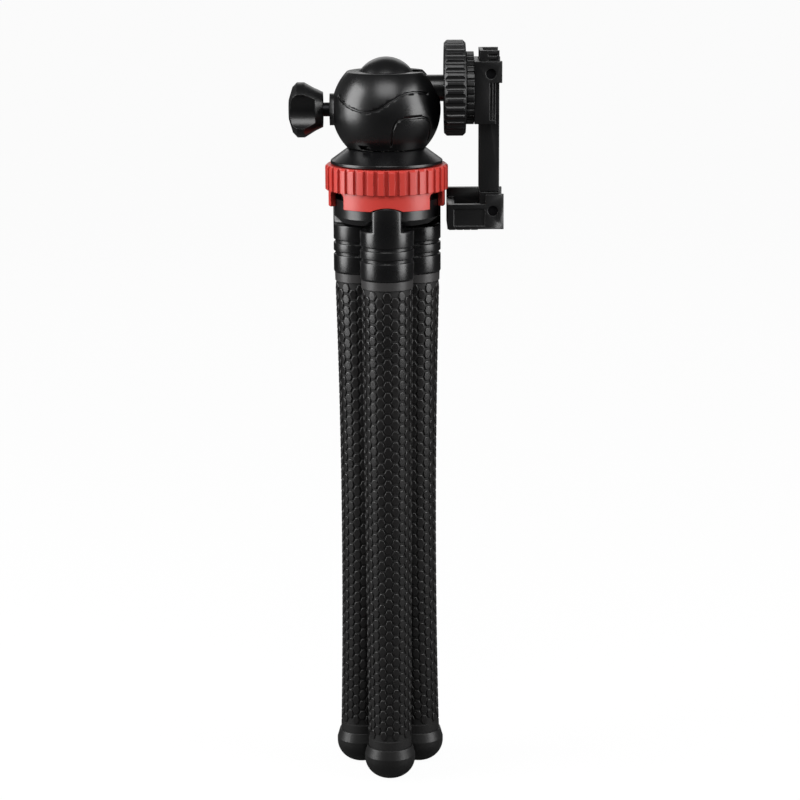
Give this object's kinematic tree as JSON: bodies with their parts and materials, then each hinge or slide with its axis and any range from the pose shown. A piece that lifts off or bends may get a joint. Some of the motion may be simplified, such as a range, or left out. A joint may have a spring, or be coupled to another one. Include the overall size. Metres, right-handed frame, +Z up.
{
  "type": "flexible leg tripod",
  "caption": "Small tripod with bendable rubber-sleeved legs, a ribbed ring, a ball head with a lock knob and a folding phone clamp.",
  "frame": {"origin": "on the floor, on the axis of the hub, midway between the three feet", "axes": "+Z up along the hub's axis, +X towards the wheel and the phone clamp, -Y towards the front leg"},
  "size_m": [0.0769, 0.0444, 0.2735],
  "materials": {
    "glossy_black_plastic": "moulded ABS, glossy",
    "matte_black_plastic": "moulded ABS, fine texture",
    "red_plastic": "moulded ABS, satin",
    "sleeve_rubber": "moulded rubber, hexagon bumps",
    "foot_rubber": "moulded rubber, smooth",
    "plated_steel": "zinc plated",
    "blackened_steel": "oil-blackened",
    "soft_wire": "soft drawn wire",
    "nylon": "moulded nylon",
    "brass_insert": "turned"
  },
  "bodies": {
    "hub": {"hub_body": "glossy_black_plastic", "ribbed_ring": "red_plastic", "hub_flange": "glossy_black_plastic", "leg_screws": "plated_steel", "head_stud": "plated_steel", "pan_washer": "nylon", "leg_1_cap": "glossy_black_plastic", "leg_1_sleeve_1": "sleeve_rubber", "leg_1_core_1": "soft_wire", "leg_2_cap": "glossy_black_plastic", "leg_2_sleeve_1": "sleeve_rubber", "leg_2_core_1": "soft_wire", "leg_3_cap": "glossy_black_plastic", "leg_3_sleeve_1": "sleeve_rubber", "leg_3_core_1": "soft_wire"},
    "head": {"head_housing": "glossy_black_plastic", "ball_seat": "nylon"},
    "brake": {"brake_pad": "nylon"},
    "knob": {"lock_knob": "glossy_black_plastic", "knob_cap": "glossy_black_plastic", "knob_screw": "blackened_steel"},
    "ball": {"ball_stem": "glossy_black_plastic", "camera_stud": "plated_steel"},
    "wheel": {"lock_wheel": "matte_black_plastic", "wheel_nut": "brass_insert"},
    "clamp": {"clamp_disc": "matte_black_plastic", "thread_insert": "brass_insert", "clamp_body": "matte_black_plastic", "clamp_bar": "matte_black_plastic", "bar_cover": "matte_black_plastic", "upper_jaw_pin": "blackened_steel", "clamp_spring": "plated_steel"},
    "upper_jaw": {"upper_jaw": "matte_black_plastic", "upper_jaw_pad": "foot_rubber"},
    "jaw_slide": {"slide_tongue": "matte_black_plastic", "lower_jaw_pin": "blackened_steel"},
    "lower_jaw": {"lower_jaw": "matte_black_plastic", "lower_jaw_pad": "foot_rubber"},
    "leg_1_upper": {"leg_1_sleeve_2": "sleeve_rubber", "leg_1_core_2": "soft_wire"},
    "leg_1_middle": {"leg_1_sleeve_3": "sleeve_rubber", "leg_1_core_3": "soft_wire"},
    "leg_1_lower": {"leg_1_sleeve_4": "sleeve_rubber", "leg_1_core_4": "soft_wire", "leg_1_foot": "foot_rubber"},
    "leg_2_upper": {"leg_2_sleeve_2": "sleeve_rubber", "leg_2_core_2": "soft_wire"},
    "leg_2_middle": {"leg_2_sleeve_3": "sleeve_rubber", "leg_2_core_3": "soft_wire"},
    "leg_2_lower": {"leg_2_sleeve_4": "sleeve_rubber", "leg_2_core_4": "soft_wire", "leg_2_foot": "foot_rubber"},
    "leg_3_upper": {"leg_3_sleeve_2": "sleeve_rubber", "leg_3_core_2": "soft_wire"},
    "leg_3_middle": {"leg_3_sleeve_3": "sleeve_rubber", "leg_3_core_3": "soft_wire"},
    "leg_3_lower": {"leg_3_sleeve_4": "sleeve_rubber", "leg_3_core_4": "soft_wire", "leg_3_foot": "foot_rubber"}
  },
  "joints": [
    {"name": "head_pan", "type": "hinge", "parent": "hub", "child": "head", "pos_m": [0, 0, 0.23555], "axis": [0, 0, 1], "continuous": true},
    {"name": "ball_swing", "type": "hinge", "parent": "head", "child": "ball", "pos_m": [0, 0, 0.25645], "axis": [0, -1, 0], "range_deg": [0, 120]},
    {"name": "wheel_spin", "type": "hinge", "parent": "ball", "child": "wheel", "pos_m": [0.0246, 0, 0.25645], "axis": [1, 0, 0], "continuous": true},
    {"name": "clamp_roll", "type": "hinge", "parent": "ball", "child": "clamp", "pos_m": [0.03, 0, 0.25645], "axis": [1, 0, 0], "continuous": true},
    {"name": "jaw_pull", "type": "slide", "parent": "clamp", "child": "jaw_slide", "axis": [0, 0, -1], "range_m": [0, 0.028], "stiffness_N_per_m": 200, "springref_m": -0.015, "deforming": ["clamp_spring"]},
    {"name": "lower_jaw_fold", "type": "hinge", "parent": "jaw_slide", "child": "lower_jaw", "pos_m": [0.03805, 0, 0.21345], "axis": [0, -1, 0], "range_deg": [0, 180]},
    {"name": "upper_jaw_fold", "type": "hinge", "parent": "clamp", "child": "upper_jaw", "pos_m": [0.03725, 0, 0.26235], "axis": [0, -1, 0], "range_deg": [0, 90]},
    {"name": "pad_slide", "type": "slide", "parent": "head", "child": "brake", "axis": [-1, 0, 0], "range_m": [0, 0.0008]},
    {"name": "knob_turn", "type": "hinge", "parent": "brake", "child": "knob", "pos_m": [-0.03, 0, 0.24895], "axis": [1, 0, 0], "range_deg": [0, 360]},
    {"name": "leg_1_upper_bend", "type": "hinge", "parent": "hub", "child": "leg_1_upper", "pos_m": [0, -0.01089, 0.16618], "axis": [-1, 0, 0], "range_deg": [0, 90]},
    {"name": "leg_1_middle_bend", "type": "hinge", "parent": "leg_1_upper", "child": "leg_1_middle", "pos_m": [0, -0.01043, 0.1114], "axis": [-1, 0, 0], "range_deg": [0, 90]},
    {"name": "leg_1_lower_bend", "type": "hinge", "parent": "leg_1_middle", "child": "leg_1_lower", "pos_m": [0, -0.01112, 0.05397], "axis": [0, -1, 0], "range_deg": [-60, 60]},
    {"name": "leg_2_upper_bend", "type": "hinge", "parent": "hub", "child": "leg_2_upper", "pos_m": [0.00943, 0.00544, 0.16618], "axis": [0.5, -0.866, 0], "range_deg": [0, 90]},
    {"name": "leg_2_middle_bend", "type": "hinge", "parent": "leg_2_upper", "child": "leg_2_middle", "pos_m": [0.00903, 0.00521, 0.1114], "axis": [0.5, -0.866, 0], "range_deg": [0, 90]},
    {"name": "leg_2_lower_bend", "type": "hinge", "parent": "leg_2_middle", "child": "leg_2_lower", "pos_m": [0.00963, 0.00556, 0.05397], "axis": [0.866, 0.5, 0], "range_deg": [-60, 60]},
    {"name": "leg_3_upper_bend", "type": "hinge", "parent": "hub", "child": "leg_3_upper", "pos_m": [-0.00943, 0.00544, 0.16618], "axis": [0.5, 0.866, 0], "range_deg": [0, 90]},
    {"name": "leg_3_middle_bend", "type": "hinge", "parent": "leg_3_upper", "child": "leg_3_middle", "pos_m": [-0.00903, 0.00521, 0.1114], "axis": [0.5, 0.866, 0], "range_deg": [0, 90]},
    {"name": "leg_3_lower_bend", "type": "hinge", "parent": "leg_3_middle", "child": "leg_3_lower", "pos_m": [-0.00963, 0.00556, 0.05397], "axis": [-0.866, 0.5, 0], "range_deg": [-60, 60]}
  ],
  "couplings": [
    {"joint": "pad_slide", "follows": "knob_turn", "m_per_rad": 0.00012732}
  ]
}
